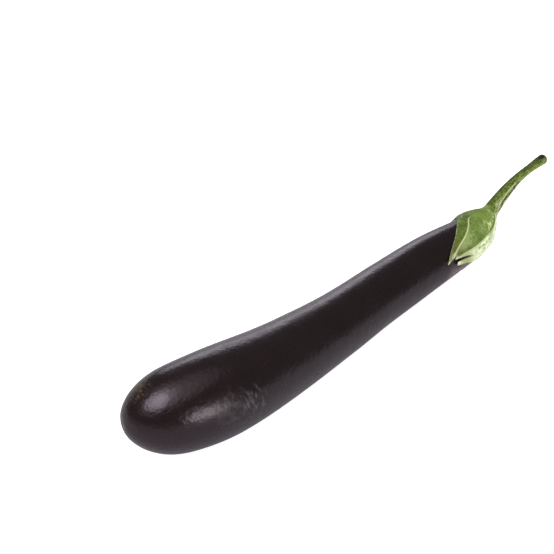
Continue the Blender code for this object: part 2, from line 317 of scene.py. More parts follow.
def fruit_radius(s):
    blossom = end_rounding(s / BLOSSOM_END_LENGTH, BLOSSOM_END_SQUARENESS)
    stem_end = end_rounding((FRUIT_LENGTH - s) / STEM_END_LENGTH, STEM_END_SQUARENESS)
    return girth(s) * blossom * stem_end


def fruit_centre(s):
    rise = np.where(s > FRUIT_RISE[0][0], fruit_rise(np.maximum(s, FRUIT_RISE[0][0])), 0)
    level = girth(soft_maximum(s, BLOSSOM_END_LENGTH, BLOSSOM_END_BLEND))
    height = level - FLAT_DEPTH + rise
    return np.stack([s, fruit_bend(s), height], -1)


def stem_centre(x):
    return np.stack([x, stem_bend(x), stem_height(x)], -1)


def unit(vectors):
    return vectors / np.linalg.norm(vectors, axis=-1, keepdims=True)


def frame_at(centre, place, step=0.0005):
    """Middle points and the directions along, towards 0 degrees and towards 90 degrees."""
    place = np.asarray(place, float)
    along = unit(centre(place + step) - centre(place - step))
    near = unit(np.cross(along, (0, 0, 1)))
    return centre(place), along, near, np.cross(near, along)


def ring_direction(near, up, angle):
    turn = np.radians(angle)[..., None]
    return np.cos(turn) * near + np.sin(turn) * up


def skin_line(samples=1200):
    """The fruit's outline from its stem end back: distance along it, station, radius and normal."""
    station = FRUIT_LENGTH * (0.5 + 0.5 * np.cos(np.linspace(0, np.pi, samples)))
    radius = fruit_radius(station)
    run = np.hypot(np.diff(station), np.diff(radius))
    distance = np.concatenate([[0], np.cumsum(run)])
    return distance, station, radius, np.gradient(radius, distance), -np.gradient(station, distance)


SKIN = skin_line()


def skin_radius(distance):
    return np.interp(distance, SKIN[0], SKIN[2])


def from_place(angle, distance, place_angle, place_distance):
    """How far a place on the skin is from another one."""
    aside = np.radians(turn_between(angle, place_angle)) * skin_radius(distance)
    return np.hypot(aside, distance - place_distance)


def over_skin(angle, distance, offset):
    """The points this far off the skin, at an angle and a distance from the stem end."""
    station, radius, ahead, outwards = (np.interp(distance, SKIN[0], column) for column in SKIN[1:])
    centre, along, near, up = frame_at(fruit_centre, station)
    away = (radius + offset * outwards)[..., None] * ring_direction(near, up, angle)
    return centre + away + (offset * ahead)[..., None] * along


def roughness_at(points, size, seed):
    """Smooth random relief between about -1 and 1, with bumps of this size."""
    flat = points.reshape(-1, 3) / size
    values = [noise.noise(Vector(p) + Vector((seed, 0, 0))) for p in flat]
    return np.array(values).reshape(points.shape[:-1])


def rings_to_mesh(name, rings, attributes):
    """A closed mesh from rings of points, with a middle point over each end and point attributes."""
    ring_count, columns = rings.shape[:2]
    ends = np.stack([rings[0].mean(0), rings[-1].mean(0)])
    points = np.concatenate([rings.reshape(-1, 3), ends])
    index = np.arange(ring_count * columns).reshape(ring_count, columns)
    across = np.roll(index, -1, 1)
    sides = np.stack([index[:-1], across[:-1], across[1:], index[1:]], -1).reshape(-1, 4)
    first, last = ring_count * columns, ring_count * columns + 1
    caps = [(first, b, a) for a, b in zip(index[0], across[0])]
    caps += [(last, a, b) for a, b in zip(index[-1], across[-1])]
    mesh = bpy.data.meshes.new(name)
    mesh.from_pydata(points.tolist(), [], sides.tolist() + [tuple(map(int, cap)) for cap in caps])
    work = bmesh.new()
    work.from_mesh(mesh)
    bmesh.ops.recalc_face_normals(work, faces=work.faces[:])
    work.to_mesh(mesh)
    work.free()
    for label, values in attributes.items():
        values = np.broadcast_to(values, rings.shape[:2] + values.shape[2:])
        ends = np.stack([values[0].mean(0), values[-1].mean(0)])
        flat = np.concatenate([values.reshape((-1,) + values.shape[2:]), ends])
        kind, field = ("FLOAT_VECTOR", "vector") if values.ndim == 3 else ("FLOAT", "value")
        mesh.attributes.new(label, kind, "POINT").data.foreach_set(field, flat.ravel())
    mesh.shade_smooth()
    return mesh


def new_object(name, data):
    """A new object in the scene's own collection."""
    added = bpy.data.objects.new(name, data)
    bpy.context.scene.collection.objects.link(added)
    return added


def make_piece(name, mesh, material, node):
    """A finished piece, which may stand for a node of the solid model."""
    mesh.name = name
    mesh.materials.clear()
    mesh.materials.append(material)
    piece = new_object(name, mesh)
    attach(piece, "root")
    if node:
        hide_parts(node)


def put(tree, kind, values=None, **settings):
    """Adds a node, with its settings and its inputs, each a value or another node's output."""
    node = tree.nodes.new(kind)
    for name, value in settings.items():
        setattr(node, name, value)
    for name, value in (values or {}).items():
        if isinstance(value, bpy.types.NodeSocket):
            tree.links.new(value, node.inputs[name])
        else:
            node.inputs[name].default_value = value
    return node


def out(tree, kind, values=None, **settings):
    """Adds a node in the same way and gives back its first output."""
    return put(tree, kind, values, **settings).outputs[0]


def math_node(tree, operation, a, b=0.0, c=0.0):
    return out(tree, "ShaderNodeMath", {0: a, 1: b, 2: c}, operation=operation)


def times(tree, a, b):
    return math_node(tree, "MULTIPLY", a, b)


def times_add(tree, a, b, c):
    """The product of the first two, and the third added to it."""
    return math_node(tree, "MULTIPLY_ADD", a, b, c)


def layered(tree, colour, layers):
    """Lays colours one after the other over the first one, each as far as its mask says."""
    for mask, shade in layers:
        inputs = {0: mask, 6: colour, 7: (*shade, 1)}
        colour = put(tree, "ShaderNodeMix", inputs, data_type="RGBA").outputs[2]
    return colour


def remap(tree, value, low, high, to_low=0.0, to_high=1.0):
    """Takes a value from one range to another, smoothly and held at both ends."""
    inputs = {"Value": value, "From Min": low, "From Max": high, "To Min": to_low, "To Max": to_high}
    return out(tree, "ShaderNodeMapRange", inputs, interpolation_type="SMOOTHSTEP")


def attribute(tree, name, output="Fac"):
    return put(tree, "ShaderNodeAttribute", attribute_name=name).outputs[output]


def object_place(tree):
    return put(tree, "ShaderNodeTexCoord").outputs["Object"]


def marked(tree, name, strength, *limits):
    """A mask from an attribute of the mesh, times a number or a value taken to other limits."""
    return times(tree, attribute(tree, name), remap(tree, strength, *limits) if limits else strength)


def noise_value(tree, place, scale, detail=2.0, roughness=0.5):
    inputs = {"Vector": place, "Scale": scale, "Detail": detail, "Roughness": roughness}
    return out(tree, "ShaderNodeTexNoise", inputs)


def start_group(name, kind, inputs, outputs):
    """A node group; each input is given by its kind or its first value, each output by its kind."""
    tree = bpy.data.node_groups.new(name, kind)
    for label, given in inputs.items():
        holds = given if isinstance(given, str) else {int: "Int", float: "Float"}[type(given)]
        socket = tree.interface.new_socket(name=label, in_out="INPUT", socket_type="NodeSocket" + holds)
        if holds != given:
            socket.default_value = given
    for label, holds in outputs.items():
        tree.interface.new_socket(name=label, in_out="OUTPUT", socket_type="NodeSocket" + holds)
    start = tree.nodes.new("NodeGroupInput")
    return tree, list(start.outputs)[:len(inputs)], tree.nodes.new("NodeGroupOutput")


def spot_group():
    """A soft round mask about one place, with a ragged edge."""
    tree, (place, middle, radius, raggedness), end = start_group(
        "spot_mask", "ShaderNodeTree",
        {"Place": "Vector", "Middle": "Vector", "Radius": 0.01, "Raggedness": 0.3}, {"Mask": "Float"})
    gap = put(tree, "ShaderNodeVectorMath", {0: place, 1: middle}, operation="DISTANCE").outputs["Value"]
    share = math_node(tree, "DIVIDE", gap, radius)
    wobble = math_node(tree, "SUBTRACT", noise_value(tree, place, 260.0, 3.0), 0.5)
    share = times_add(tree, wobble, raggedness, share)
    tree.links.new(remap(tree, share, 1.0, 0.25), end.inputs["Mask"])
    return tree


def tissue_group():
    """Pattern of green plant tissue: a vein net, streaks along the growth, mottling and speckles."""
    labels = ("Net", "Streaks", "Mottle", "Grit", "Speckles", "Height")
    tree, (place, grain, net_scale, streak_scale, speckle_scale), end = start_group(
        "plant_tissue", "ShaderNodeTree",
        {"Place": "Vector", "Grain": "Vector", "Net Scale": 420.0, "Streak Scale": 16.0,
         "Speckle Scale": 900.0},
        {label: "Float" for label in labels})
    bent = put(tree, "ShaderNodeTexNoise", {"Vector": place, "Scale": 300.0}).outputs["Color"]
    bent = out(tree, "ShaderNodeVectorMath", {0: bent, 1: (VEIN_BEND,) * 3, 2: place},
               operation="MULTIPLY_ADD")
    cells = out(tree, "ShaderNodeTexVoronoi", {"Vector": bent, "Scale": net_scale},
                feature="DISTANCE_TO_EDGE")
    net = remap(tree, cells, 0.10, 0.0)
    streaks = noise_value(tree, grain, streak_scale, 3.0, 0.6)
    mottle = noise_value(tree, place, 150.0, 4.0, 0.6)
    grit = noise_value(tree, place, 620.0, 3.0, 0.7)
    speckles = remap(tree, noise_value(tree, place, speckle_scale, 3.0), 0.50, 0.60)
    height = times_add(tree, streaks, 0.8, times_add(tree, grit, 0.7, times(tree, net, 0.25)))
    for label, socket in zip(labels, (net, streaks, mottle, grit, speckles, height)):
        tree.links.new(socket, end.inputs[label])
    return tree


SPOT_MASK = spot_group()
PLANT_TISSUE = tissue_group()


def spot_mask(tree, place, middle, radius, raggedness):
    values = {"Place": place, "Middle": middle, "Radius": radius, "Raggedness": raggedness}
    return out(tree, "ShaderNodeGroup", values, node_tree=SPOT_MASK)


def tissue_nodes(tree, net_scale, streak_scale, speckle_scale):
    values = {"Place": object_place(tree), "Grain": attribute(tree, "grain", "Vector"),
              "Net Scale": net_scale, "Streak Scale": streak_scale, "Speckle Scale": speckle_scale}
    return put(tree, "ShaderNodeGroup", values, node_tree=PLANT_TISSUE).outputs


def new_material(name):
    material = bpy.data.materials.new(name)
    material.use_nodes = True
    return material, material.node_tree, material.node_tree.nodes["Principled BSDF"]


def connect(tree, shader, colour, roughness, height, strength, depth, ior):
    """Gives a shader its colour, its roughness, its relief and how strongly it reflects."""
    relief = out(tree, "ShaderNodeBump", {"Height": height, "Strength": strength, "Distance": depth})
    for label, socket in (("Base Color", colour), ("Roughness", roughness), ("Normal", relief)):
        tree.links.new(socket, shader.inputs[label])
    shader.inputs["IOR"].default_value = ior


def skin_material(shift):
    """Waxy skin, almost black: wine tint, faint lengthwise streaks, scars, scuffs and a pale margin."""
    material, tree, shader = new_material("fruit_skin_waxy")
    place = object_place(tree)

    def spot(station, angle, radius, raggedness):
        centre, _, near, up = frame_at(fruit_centre, station)
        middle = centre + fruit_radius(station) * ring_direction(near, up, np.array(angle)) + shift
        return spot_mask(tree, place, tuple(middle), radius, raggedness)

    def patches(where, scale, detail, low, high, to_low=0.0, to_high=1.0):
        return remap(tree, noise_value(tree, where, scale, detail), low, high, to_low, to_high)

    lengthwise = out(tree, "ShaderNodeMapping", {"Vector": place, "Scale": STREAK_STRETCH})
    turned = {"Vector": place, "Rotation": SCUFF_TURN, "Scale": SCUFF_STRETCH}
    around = out(tree, "ShaderNodeMapping", turned, vector_type="TEXTURE")
    scar = times(tree, spot(*PALE_SCAR), patches(place, 1300.0, 2.0, 0.55, 0.66))
    scuff = times(tree, spot(*SCUFF), patches(around, 620.0, 2.0, 0.52, 0.66))
    smear = times(tree, spot(*SMEAR), patches(place, 330.0, 3.0, 0.42, 0.62, 0.04, 0.36))
    ragged = times_add(tree, noise_value(tree, place, 900.0, 3.0), 0.9, attribute(tree, "blossom"))
    end_scar = remap(tree, ragged, 1.00, 1.35)
    colour = layered(tree, (0.0054, 0.0036, 0.0034, 1), (
        (noise_value(tree, place, 28.0, 3.0), (0.0086, 0.0054, 0.0056)),
        (patches(lengthwise, 700.0, 3.0, 0.5, 0.8, 0.0, 0.3), (0.012, 0.007, 0.010)),
        (times(tree, spot(*WINE_TINT), 0.5), (0.0062, 0.0007, 0.0012)),
        (times(tree, spot(*PALE_SHOULDER), 0.9), (0.085, 0.066, 0.068)),
        (scar, (0.130, 0.100, 0.045)),
        (times(tree, scuff, 0.8), (0.055, 0.050, 0.052)),
        (smear, (0.045, 0.040, 0.040)),
        (spot(*SLIT_SHADE), (0.002, 0.0015, 0.0015)),
        (end_scar, (0.055, 0.038, 0.024)),
    ))
    dry = math_node(tree, "MAXIMUM", scar, end_scar)
    roughness = remap(tree, noise_value(tree, place, 60.0, 4.0, 0.6), 0.3, 0.7, 0.24, 0.31)
    roughness = times_add(tree, dry, 0.35, times_add(tree, scuff, 0.15, roughness))
    dimples = times(tree, noise_value(tree, place, 620.0, 1.0), 2.2)
    height = times_add(tree, noise_value(tree, place, 200.0, 2.0), 4.5, dimples)
    height = times_add(tree, math_node(tree, "ADD", dry, scuff), 0.5, height)
    connect(tree, shader, colour, roughness, height, 0.6, 0.00008, 1.47)
    shader.inputs["Specular Tint"].default_value = (1.0, 0.88, 0.95, 1)
    return material


def calyx_material():
    """Leathery leaf tissue: olive green, deeper green with painted shade by its folds, in its left strip and
    at the stem, and paler low on the near side, partly bleached and partly painted light.
    """
    material, tree, shader = new_material("calyx_leaf")
    tissue = tissue_nodes(tree, 420.0, 16.0, 400.0)
    mottle, streaks = tissue["Mottle"], tissue["Streaks"]
    uneven = times_add(tree, tissue["Grit"], 0.5, times(tree, mottle, 0.5))
    colour = layered(tree, (0.062, 0.102, 0.012, 1), (
        (remap(tree, uneven, 0.38, 0.62), (0.142, 0.200, 0.048)),
        (marked(tree, "glow", mottle, 0.4, 0.6, 0.4, 1.0), (0.118, 0.185, 0.014)),
        (marked(tree, "light", uneven, 0.38, 0.62, 0.35, 1.0), (0.250, 0.305, 0.118)),
        (remap(tree, streaks, 0.50, 0.75, 0.0, 0.35), (0.230, 0.300, 0.090)),
        # painted shade, partly deeper green tissue: the left strip, bands beside the ribs, the crown by the
        # stem and the upper left
        (marked(tree, "deep_green_and_shade", mottle, 0.3, 0.6, 1.0, 0.6), (0.040, 0.065, 0.006)),
        (times(tree, tissue["Net"], 0.15), (0.30, 0.37, 0.14)),
        # paler low on the near side: partly bleached tissue, partly painted light
        (marked(tree, "pale", uneven, 0.38, 0.55, 0.55, 1.0), (0.68, 0.74, 0.51)),
        (times(tree, marked(tree, "pale", streaks, 0.50, 0.40), 0.85), (0.25, 0.33, 0.12)),
        (marked(tree, "speckle", tissue["Speckles"], 0.0, 1.0, 0.15, 1.0), (0.41, 0.51, 0.17)),
        (marked(tree, "olive", 0.8), (0.086, 0.088, 0.018)),
        (marked(tree, "crest", 0.95), (0.46, 0.53, 0.25)),
        # painted shade in the crease along the fold rib, and the faint dark dashes beside it
        (marked(tree, "crease", 0.85), (0.060, 0.090, 0.014)),
        (marked(tree, "border", 0.55), (0.230, 0.240, 0.140)),
        (marked(tree, "stain", uneven, 0.40, 0.60, 0.5, 1.0), (0.200, 0.180, 0.060)),
        (marked(tree, "dry", 0.9), (0.60, 0.56, 0.42)),
    ))
    roughness = remap(tree, streaks, 0.3, 0.7, 0.50, 0.66)
    connect(tree, shader, colour, roughness, tissue["Height"], 0.7, 0.00022, 1.25)
    return material


def stem_material():
    """Fibrous stalk: green with lengthwise streaks, painted shade on top, painted light low on the near
    side, and a dark dried cut end.
    """
    material, tree, shader = new_material("stem_stalk")
    tissue = tissue_nodes(tree, 300.0, 4.0, 700.0)
    streaks = tissue["Streaks"]
    uneven = times_add(tree, tissue["Grit"], 0.6, times(tree, streaks, 0.4))
    colour = layered(tree, (0.034, 0.055, 0.004, 1), (
        (remap(tree, uneven, 0.42, 0.57), (0.138, 0.182, 0.031)),
        (remap(tree, streaks, 0.54, 0.66, 0.0, 0.5), (0.210, 0.265, 0.080)),
        # painted shade along the top of the stem
        (marked(tree, "deep_green_and_shade", uneven, 0.40, 0.6, 1.0, 0.6), (0.020, 0.032, 0.002)),
        # painted light low on the near side of the stem
        (marked(tree, "pale", uneven, 0.40, 0.55, 0.6, 1.0), (0.270, 0.340, 0.130)),
        (marked(tree, "cork", uneven, 0.46, 0.58, 1.0, 0.3), (0.030, 0.034, 0.012)),
        (attribute(tree, "cut"), (0.066, 0.078, 0.024)),
        (attribute(tree, "dark"), (0.010, 0.011, 0.003)),
    ))
    roughness = remap(tree, streaks, 0.3, 0.7, 0.52, 0.70)
    connect(tree, shader, colour, roughness, tissue["Height"], 0.7, 0.0002, 1.25)
    return material


def fibre_material():
    """Dry torn fibres of the stem's bark: straw to pale green, darker in their roots."""
    material, tree, shader = new_material("stem_torn_fibre")
    place = object_place(tree)
    colour = layered(tree, (0.24, 0.30, 0.10, 1), (
        (noise_value(tree, place, 500.0, 3.0), (0.66, 0.70, 0.42)),
        (attribute(tree, "root"), (0.12, 0.15, 0.05)),
    ))
    roughness = remap(tree, noise_value(tree, place, 900.0), 0.3, 0.7, 0.6, 0.8)
    connect(tree, shader, colour, roughness, noise_value(tree, place, 2500.0, 2.0), 0.6, 0.0001, 1.35)
    return material


def guide_value(tree, name):
    """A number that each point of the guide carries."""
    return out(tree, "GeometryNodeInputNamedAttribute", {"Name": name}, data_type="FLOAT")


def swept_line(tree, guide, radius_name, sides):
    """Sweeps a circle along a guide of edges; the circle's radius is an attribute of the guide."""
    line = out(tree, "GeometryNodeMeshToCurve", {"Mesh": guide})
    line = out(tree, "GeometryNodeSetCurveNormal", {"Curve": line}, mode="Z_UP")
    circle = out(tree, "GeometryNodeCurvePrimitiveCircle", {"Resolution": sides, "Radius": 1.0})
    return out(tree, "GeometryNodeCurveToMesh", {"Curve": line, "Profile Curve": circle, "Fill Caps": True,
                                                 "Scale": guide_value(tree, radius_name)})


def finished(tree, geometry, material, end):
    """Smooth shading, real geometry and the piece's material at the end of a node tree."""
    smooth = out(tree, "GeometryNodeSetShadeSmooth", {"Geometry": geometry})
    real = out(tree, "GeometryNodeRealizeInstances", {"Geometry": smooth})
    coated = out(tree, "GeometryNodeSetMaterial", {"Geometry": real, "Material": material})
    tree.links.new(coated, end.inputs[0])


def fruit_body_tree(material):
    """Sweeps the fruit, swells it unevenly, sinks its blossom scar and settles its underside."""
    tree, (middle_line, sides, swell_height, swell_size, scar_depth, settle), end = start_group(
        "fruit_body", "GeometryNodeTree",
        {"Middle Line": "Geometry", "Sides": FRUIT_SIDES, "Swell Height": SWELL_HEIGHT,
         "Swell Size": SWELL_SIZE, "Scar Depth": BLOSSOM_SCAR_DEPTH, "Settle": SETTLE_ROUNDING},
        {"Body": "Geometry"})
    body = swept_line(tree, middle_line, "girth", sides)
    body = out(tree, "GeometryNodeMergeByDistance", {"Geometry": body, "Distance": 0.00002})
    place = out(tree, "GeometryNodeInputPosition")
    swell = noise_value(tree, place, math_node(tree, "DIVIDE", 1.0, swell_size), 1.0)
    swell = times(tree, math_node(tree, "SUBTRACT", swell, 0.5), times(tree, swell_height, 2.0))
    scar = guide_value(tree, "blossom")
    knob = times(tree, math_node(tree, "POWER", scar, 4.0), 0.8)
    dip = times(tree, math_node(tree, "SUBTRACT", knob, scar), scar_depth)
    lift = math_node(tree, "ADD", swell, dip)
    normal = out(tree, "GeometryNodeInputNormal")
    offset = out(tree, "ShaderNodeVectorMath", {0: normal, "Scale": lift}, operation="SCALE")
    body = out(tree, "GeometryNodeSetPosition", {"Geometry": body, "Offset": offset})
    parts = put(tree, "ShaderNodeSeparateXYZ", {0: place}).outputs
    floor = math_node(tree, "SMOOTH_MAX", parts[2], 0.0, settle)
    settled = out(tree, "ShaderNodeCombineXYZ", {0: parts[0], 1: parts[1], 2: floor})
    body = out(tree, "GeometryNodeSetPosition", {"Geometry": body, "Position": settled})
    finished(tree, body, material, end)
    return tree


def fibre_tree(material):
    """Thin torn fibres along the stem, each wavering a little on its way."""
    tree, (fibre_lines, sides, waver, waver_size), end = start_group(
        "stem_fibres", "GeometryNodeTree",
        {"Fibre Lines": "Geometry", "Sides": FIBRE_SIDES, "Waver": FIBRE_WAVER,
         "Waver Size": FIBRE_WAVER_SIZE},
        {"Fibres": "Geometry"})
    place = out(tree, "GeometryNodeInputPosition")
    scale = math_node(tree, "DIVIDE", 1.0, waver_size)
    drift = put(tree, "ShaderNodeTexNoise", {"Vector": place, "Scale": scale}).outputs["Color"]
    drift = out(tree, "ShaderNodeVectorMath", {0: drift, 1: (0.5, 0.5, 0.5)}, operation="SUBTRACT")
    drift = out(tree, "ShaderNodeVectorMath", {0: drift, "Scale": waver}, operation="SCALE")
    lines = out(tree, "GeometryNodeSetPosition", {"Geometry": fibre_lines, "Offset": drift})
    finished(tree, swept_line(tree, lines, "thickness", sides), material, end)
    return tree


def grown_mesh(name, guide, tree):
    """The plain mesh that a geometry node tree makes of a guide mesh."""
    guide_object = new_object(name + "_guide", guide)
    guide_object.modifiers.new("Grow", "NODES").node_group = tree
    bpy.context.view_layer.update()
    evaluated = guide_object.evaluated_get(bpy.context.evaluated_depsgraph_get())
    mesh = bpy.data.meshes.new_from_object(evaluated)
    bpy.data.objects.remove(guide_object)
    bpy.data.meshes.remove(guide)
    return mesh


def guide_mesh(name, lines, attributes):
    """A mesh of open lines of points, with an attribute value for every point."""
    edges = []
    start = 0
    for line in lines:
        edges += [(i, i + 1) for i in range(start, start + len(line) - 1)]
        start += len(line)
    mesh = bpy.data.meshes.new(name)
    mesh.from_pydata(np.concatenate(lines).tolist(), edges, [])
    for label, values in attributes.items():
        mesh.attributes.new(label, "FLOAT", "POINT").data.foreach_set("value", np.concatenate(values))
    return mesh


def point_array(mesh):
    points = np.empty(len(mesh.vertices) * 3)
    mesh.vertices.foreach_get("co", points)
    return points.reshape(-1, 3)


def shift_mesh(mesh, shift):
    mesh.vertices.foreach_set("co", (point_array(mesh) + shift).ravel())
    mesh.update()


def make_fruit_mesh(material):
    """The fruit's mesh in its own frame, from its middle line, radius and blossom scar."""
    station = FRUIT_LENGTH * (0.5 - 0.5 * np.cos(np.linspace(0, np.pi, FRUIT_RINGS)))
    radius = fruit_radius(station)
    scar = np.where(station < BLOSSOM_END_LENGTH, bell(radius, BLOSSOM_SCAR_RADIUS), 0)
    guide = guide_mesh("fruit_line", [fruit_centre(station)], {"girth": [radius], "blossom": [scar]})
    return grown_mesh("fruit_body", guide, fruit_body_tree(material))


def cork_relief(length, angle):
    """How much torn cork there is at a place on the stem, from 0 to 1."""
    inside = (length > CORK_START) & (length < CORK_END)
    run = np.clip((length - CORK_START) / (CORK_END - CORK_START), 0, 1)
    spread = np.clip(1 - np.abs(turn_between(angle, CORK_ANGLE)) / CORK_SPREAD, 0, 1)
    return np.where(inside, spread * np.sqrt(np.sin(np.pi * run)), 0)


def stem_surface(length, angle, lift=0.0):
    """Points on or off the stem's side, with its ribs, rounded end, torn cork and unevenness."""
    fade = 1 - soft_step(length, STEM_RIB_FADE, STEM_LENGTH)
    rib = STEM_RIB_HEIGHT * fade * np.cos(np.radians(STEM_RIB_COUNT * (angle - STEM_RIB_TURN)))
    past = np.clip((length - STEM_LENGTH + STEM_END_ROUNDING) / STEM_END_ROUNDING, 0, 1)
    radius = stem_girth(length) + rib - STEM_END_ROUNDING * (1 - np.sqrt(1 - past ** 2))
    place = STEM_START + (STEM_END - STEM_START) * length / STEM_LENGTH
    centre, _, near, up = frame_at(stem_centre, place)
    direction = ring_direction(near, up, angle)
    smooth = centre + radius[..., None] * direction
    ragged = 0.75 + 0.5 * roughness_at(smooth, CORK_LUMP_SIZE, 3.0)
    extra = CORK_HEIGHT * cork_relief(length, angle) * ragged + lift
    uneven = STEM_LUMP_HEIGHT * roughness_at(smooth, STEM_LUMP_SIZE, 7.0)
    extra = extra + uneven * soft_step(length, 0.0, 0.004)
    return smooth + extra[..., None] * direction


def stem_rings():
    """Rings of points from inside the calyx to the middle of the dried cut end."""
    angle = 360 * np.arange(STEM_SIDES) / STEM_SIDES
    bend = np.sin(np.linspace(0, np.pi / 2, 12))[1:]
    straight = STEM_LENGTH - STEM_END_ROUNDING
    length = np.concatenate([np.linspace(0, straight, STEM_RINGS), straight + STEM_END_ROUNDING * bend])
    lengths, angles = np.meshgrid(length, angle, indexing="ij")
    side = stem_surface(lengths, angles)
    foot, way, _, _ = frame_at(stem_centre, np.array(STEM_START))
    tucked = foot + (side[0] - foot) * STEM_TUCK - STEM_OVERLAP * way
    _, tip_way, _, _ = frame_at(stem_centre, np.array(STEM_END))
    middle = side[-1].mean(0)
    caps = []
    for share, depth in CUT_FACE:
        ring = middle + (side[-1] - middle) * share + depth * tip_way
        caps.append(ring + CUT_LUMP_HEIGHT * roughness_at(ring, CUT_LUMP_SIZE, 5.0)[:, None] * tip_way)
    rings = np.concatenate([tucked[None], side, np.stack(caps)])
    along = np.concatenate([[0], length, np.full(len(caps), STEM_LENGTH)])
    bare = np.zeros(len(length) - len(bend) + 1)
    cut = np.concatenate([bare, 0.5 * bend ** 4, np.linspace(0.6, 1.0, len(caps))])
    return rings, along[:, None], angle[None, :], cut[:, None]


def make_stem(shift):
    rings, along, angle, cut = stem_rings()
    turn = np.radians(angle)
    # Painted shade along the stem's top, turning towards the very top near its end
    top = bell(turn_between(angle, 125.0 - 32.0 * soft_step(along, 0.018, 0.045)), 42.0)
    # Painted light low on the stem's near side
    near = bell(turn_between(angle, 335.0), 50.0)
    upper_end = window(turn_between(angle, 105.0), -56.0, -30.0, 50.0, 85.0)
    attributes = {
        "grain": np.stack(np.broadcast_arrays(np.cos(turn), np.sin(turn), along / STEM_GRAIN), -1),
        # painted shade along the top of the stem
        "deep_green_and_shade": np.minimum(1.0, 0.9 * top * (1.0 + 0.6 * soft_step(along, 0.020, 0.050))),
        # painted light low on the near side of the stem
        "pale": 0.9 * near * (0.3 + 0.3 * soft_step(along, 0.058, 0.050)
                              + 0.4 * soft_step(along, 0.052, 0.020)
                              - 0.3 * soft_step(along, 0.009, 0.003)),
        "cork": soft_step(cork_relief(along, angle), 0.10, 0.6),
        "dark": soft_step(along, 0.0500, 0.0555) * upper_end,
        "cut": cut,
    }
    mesh = rings_to_mesh("stem_stalk", rings + shift, attributes)
    make_piece("stem_stalk", mesh, stem_material(), "stem")


def make_fibres(shift):
    """Torn bark fibres along the near side of the stem's foot, and flakes on the crown below them."""
    draw = random.Random(FIBRE_SEED)
    lines, thickness, root = [], [], []

    def lay(line, run, radius):
        taper = np.sin(np.pi * (0.06 + 0.90 * run)) ** 0.6
        lines.append(line + shift)
        thickness.append(radius * taper)
        root.append(np.clip(1 - 4 * taper, 0, 1))

    run = np.linspace(0, 1, FIBRE_POINTS)
    for angle, slant, start, stop, radius in FIBRES:
        length = start + (stop - start) * run
        turned = angle + slant * run + draw.uniform(-FIBRE_STRAY, FIBRE_STRAY)
        lift = FIBRE_STANDING * (0.3 + np.abs(2 * run - 1) ** 2) * draw.uniform(0.6, 1.3)
        lay(stem_surface(np.maximum(length, 0), turned, lift), run, radius)
    crown_angle = np.arange(0.0, 360.0, FLAKE_GRID)
    crown, _, _, outwards = calyx_crown(crown_angle)
    for angle, start, stop, radius in CROWN_FLAKES:
        column = int(round(angle / FLAKE_GRID)) % len(crown_angle)
        first, last = int(start * CROWN_RINGS), int(stop * CROWN_RINGS)
        run = np.linspace(0, 1, last - first)
        lift = FIBRE_STANDING * (0.5 + np.abs(2 * run - 1) ** 2)
        lay(crown[first:last, column] + lift[:, None] * outwards[first:last, column], run, radius)
    guide = guide_mesh("fibre_lines", lines, {"thickness": thickness, "root": root})
    material = fibre_material()
    mesh = grown_mesh("stem_fibres", guide, fibre_tree(material))
    make_piece("stem_fibres", mesh, material, None)


def rim_of_column():
    """Angle, distance and lean of the calyx's rim for each of its columns, from the first tip on."""
    rim = []
    for i, (angle, distance, columns, lean) in enumerate(RIM_CORNERS):
        next_angle, next_distance, _, next_lean = RIM_CORNERS[(i + 1) % len(RIM_CORNERS)]
        if i == len(RIM_CORNERS) - 1:
            next_angle += 360
        share = np.arange(columns) / columns
        climb = 1 - (1 - share) ** RIM_CURVE if distance > next_distance else share ** RIM_CURVE
        rim.append(np.stack([angle + share * (next_angle - angle),
                             distance + climb * (next_distance - distance),
                             lean + share * (next_lean - lean)]))
    angle, distance, lean = np.concatenate(rim, 1)
    wave = [noise.noise(Vector((place / 4.0, 0.5, 0.5))) for place in angle]
    return angle, distance + RIM_WAVE * np.array(wave), lean


def column_path(share, column_angle, rim_angle, lean):
    """The angle of a column on its way from the crown to the rim; a leaning one swings in late."""
    swing = share ** LEAN_POWER * (1 - share)
    peak = LEAN_POWER ** LEAN_POWER / (LEAN_POWER + 1) ** (LEAN_POWER + 1)
    return column_angle + (rim_angle - column_angle) * share + lean * swing / peak


def beside_line(line, angle, distance):
    """How far a place is across from a line, towards larger angles, and how far past its ends."""
    follow = smooth_through([(place, turn) for turn, place in line])
    step = 0.0005
    held = np.clip(distance, line[0][1], line[-1][1])
    radius = skin_radius(distance)
    slant = np.radians(follow(held + step) - follow(held - step)) / (2 * step) * radius
    across = np.radians(turn_between(angle, follow(held))) * radius / np.sqrt(1 + slant ** 2)
    return across, np.abs(distance - held)


def rib_relief(angle, distance):
    """Height of the ribs at a place on the calyx, and how near it is to a crest, from 0 to 1."""
    height = np.zeros_like(distance)
    crest = np.zeros_like(distance)
    for rib_height, far_width, near_width, line in RIBS:
        across, past = beside_line(line, angle, distance)
        fade = soft_step(distance, line[0][1] - 0.002, line[0][1] + RIB_FADE)
        reach = np.hypot(across, past) / np.where(across > 0, far_width, near_width)
        height = np.maximum(height, fade * rib_height * np.exp(-reach ** 1.4))
        sharp = min(1.0, rib_height / CREST_FULL_HEIGHT)
        crest = np.maximum(crest, sharp * fade * bell(np.hypot(across, past), CREST_WIDTH))
    return height, crest


def tip_lift(angle, distance):
    """How far the sepal tips stand off the skin."""
    lift = np.zeros_like(distance)
    for tip_angle, tip_distance, height in TIP_LIFTS:
        aside = np.radians(turn_between(angle, tip_angle)) * skin_radius(distance)
        run = soft_step(distance, tip_distance - TIP_REACH, tip_distance) ** 1.5
        lift += height * run * bell(aside, TIP_WIDTH)
    return lift


def calyx_offset(angle, distance):
    crown = np.clip(1 - distance / CROWN_REACH, 0, 1) ** 2
    belly = CALYX_BELLY * window(distance, 0.005, 0.012, 0.040, 0.052)
    belly = belly * window(turn_between(angle, CALYX_FRONT), -98.0, -76.0, 90.0, 120.0)
    return SKIN_GAP + RIM_THICKNESS + belly + (CROWN_THICKNESS - RIM_THICKNESS) * crown


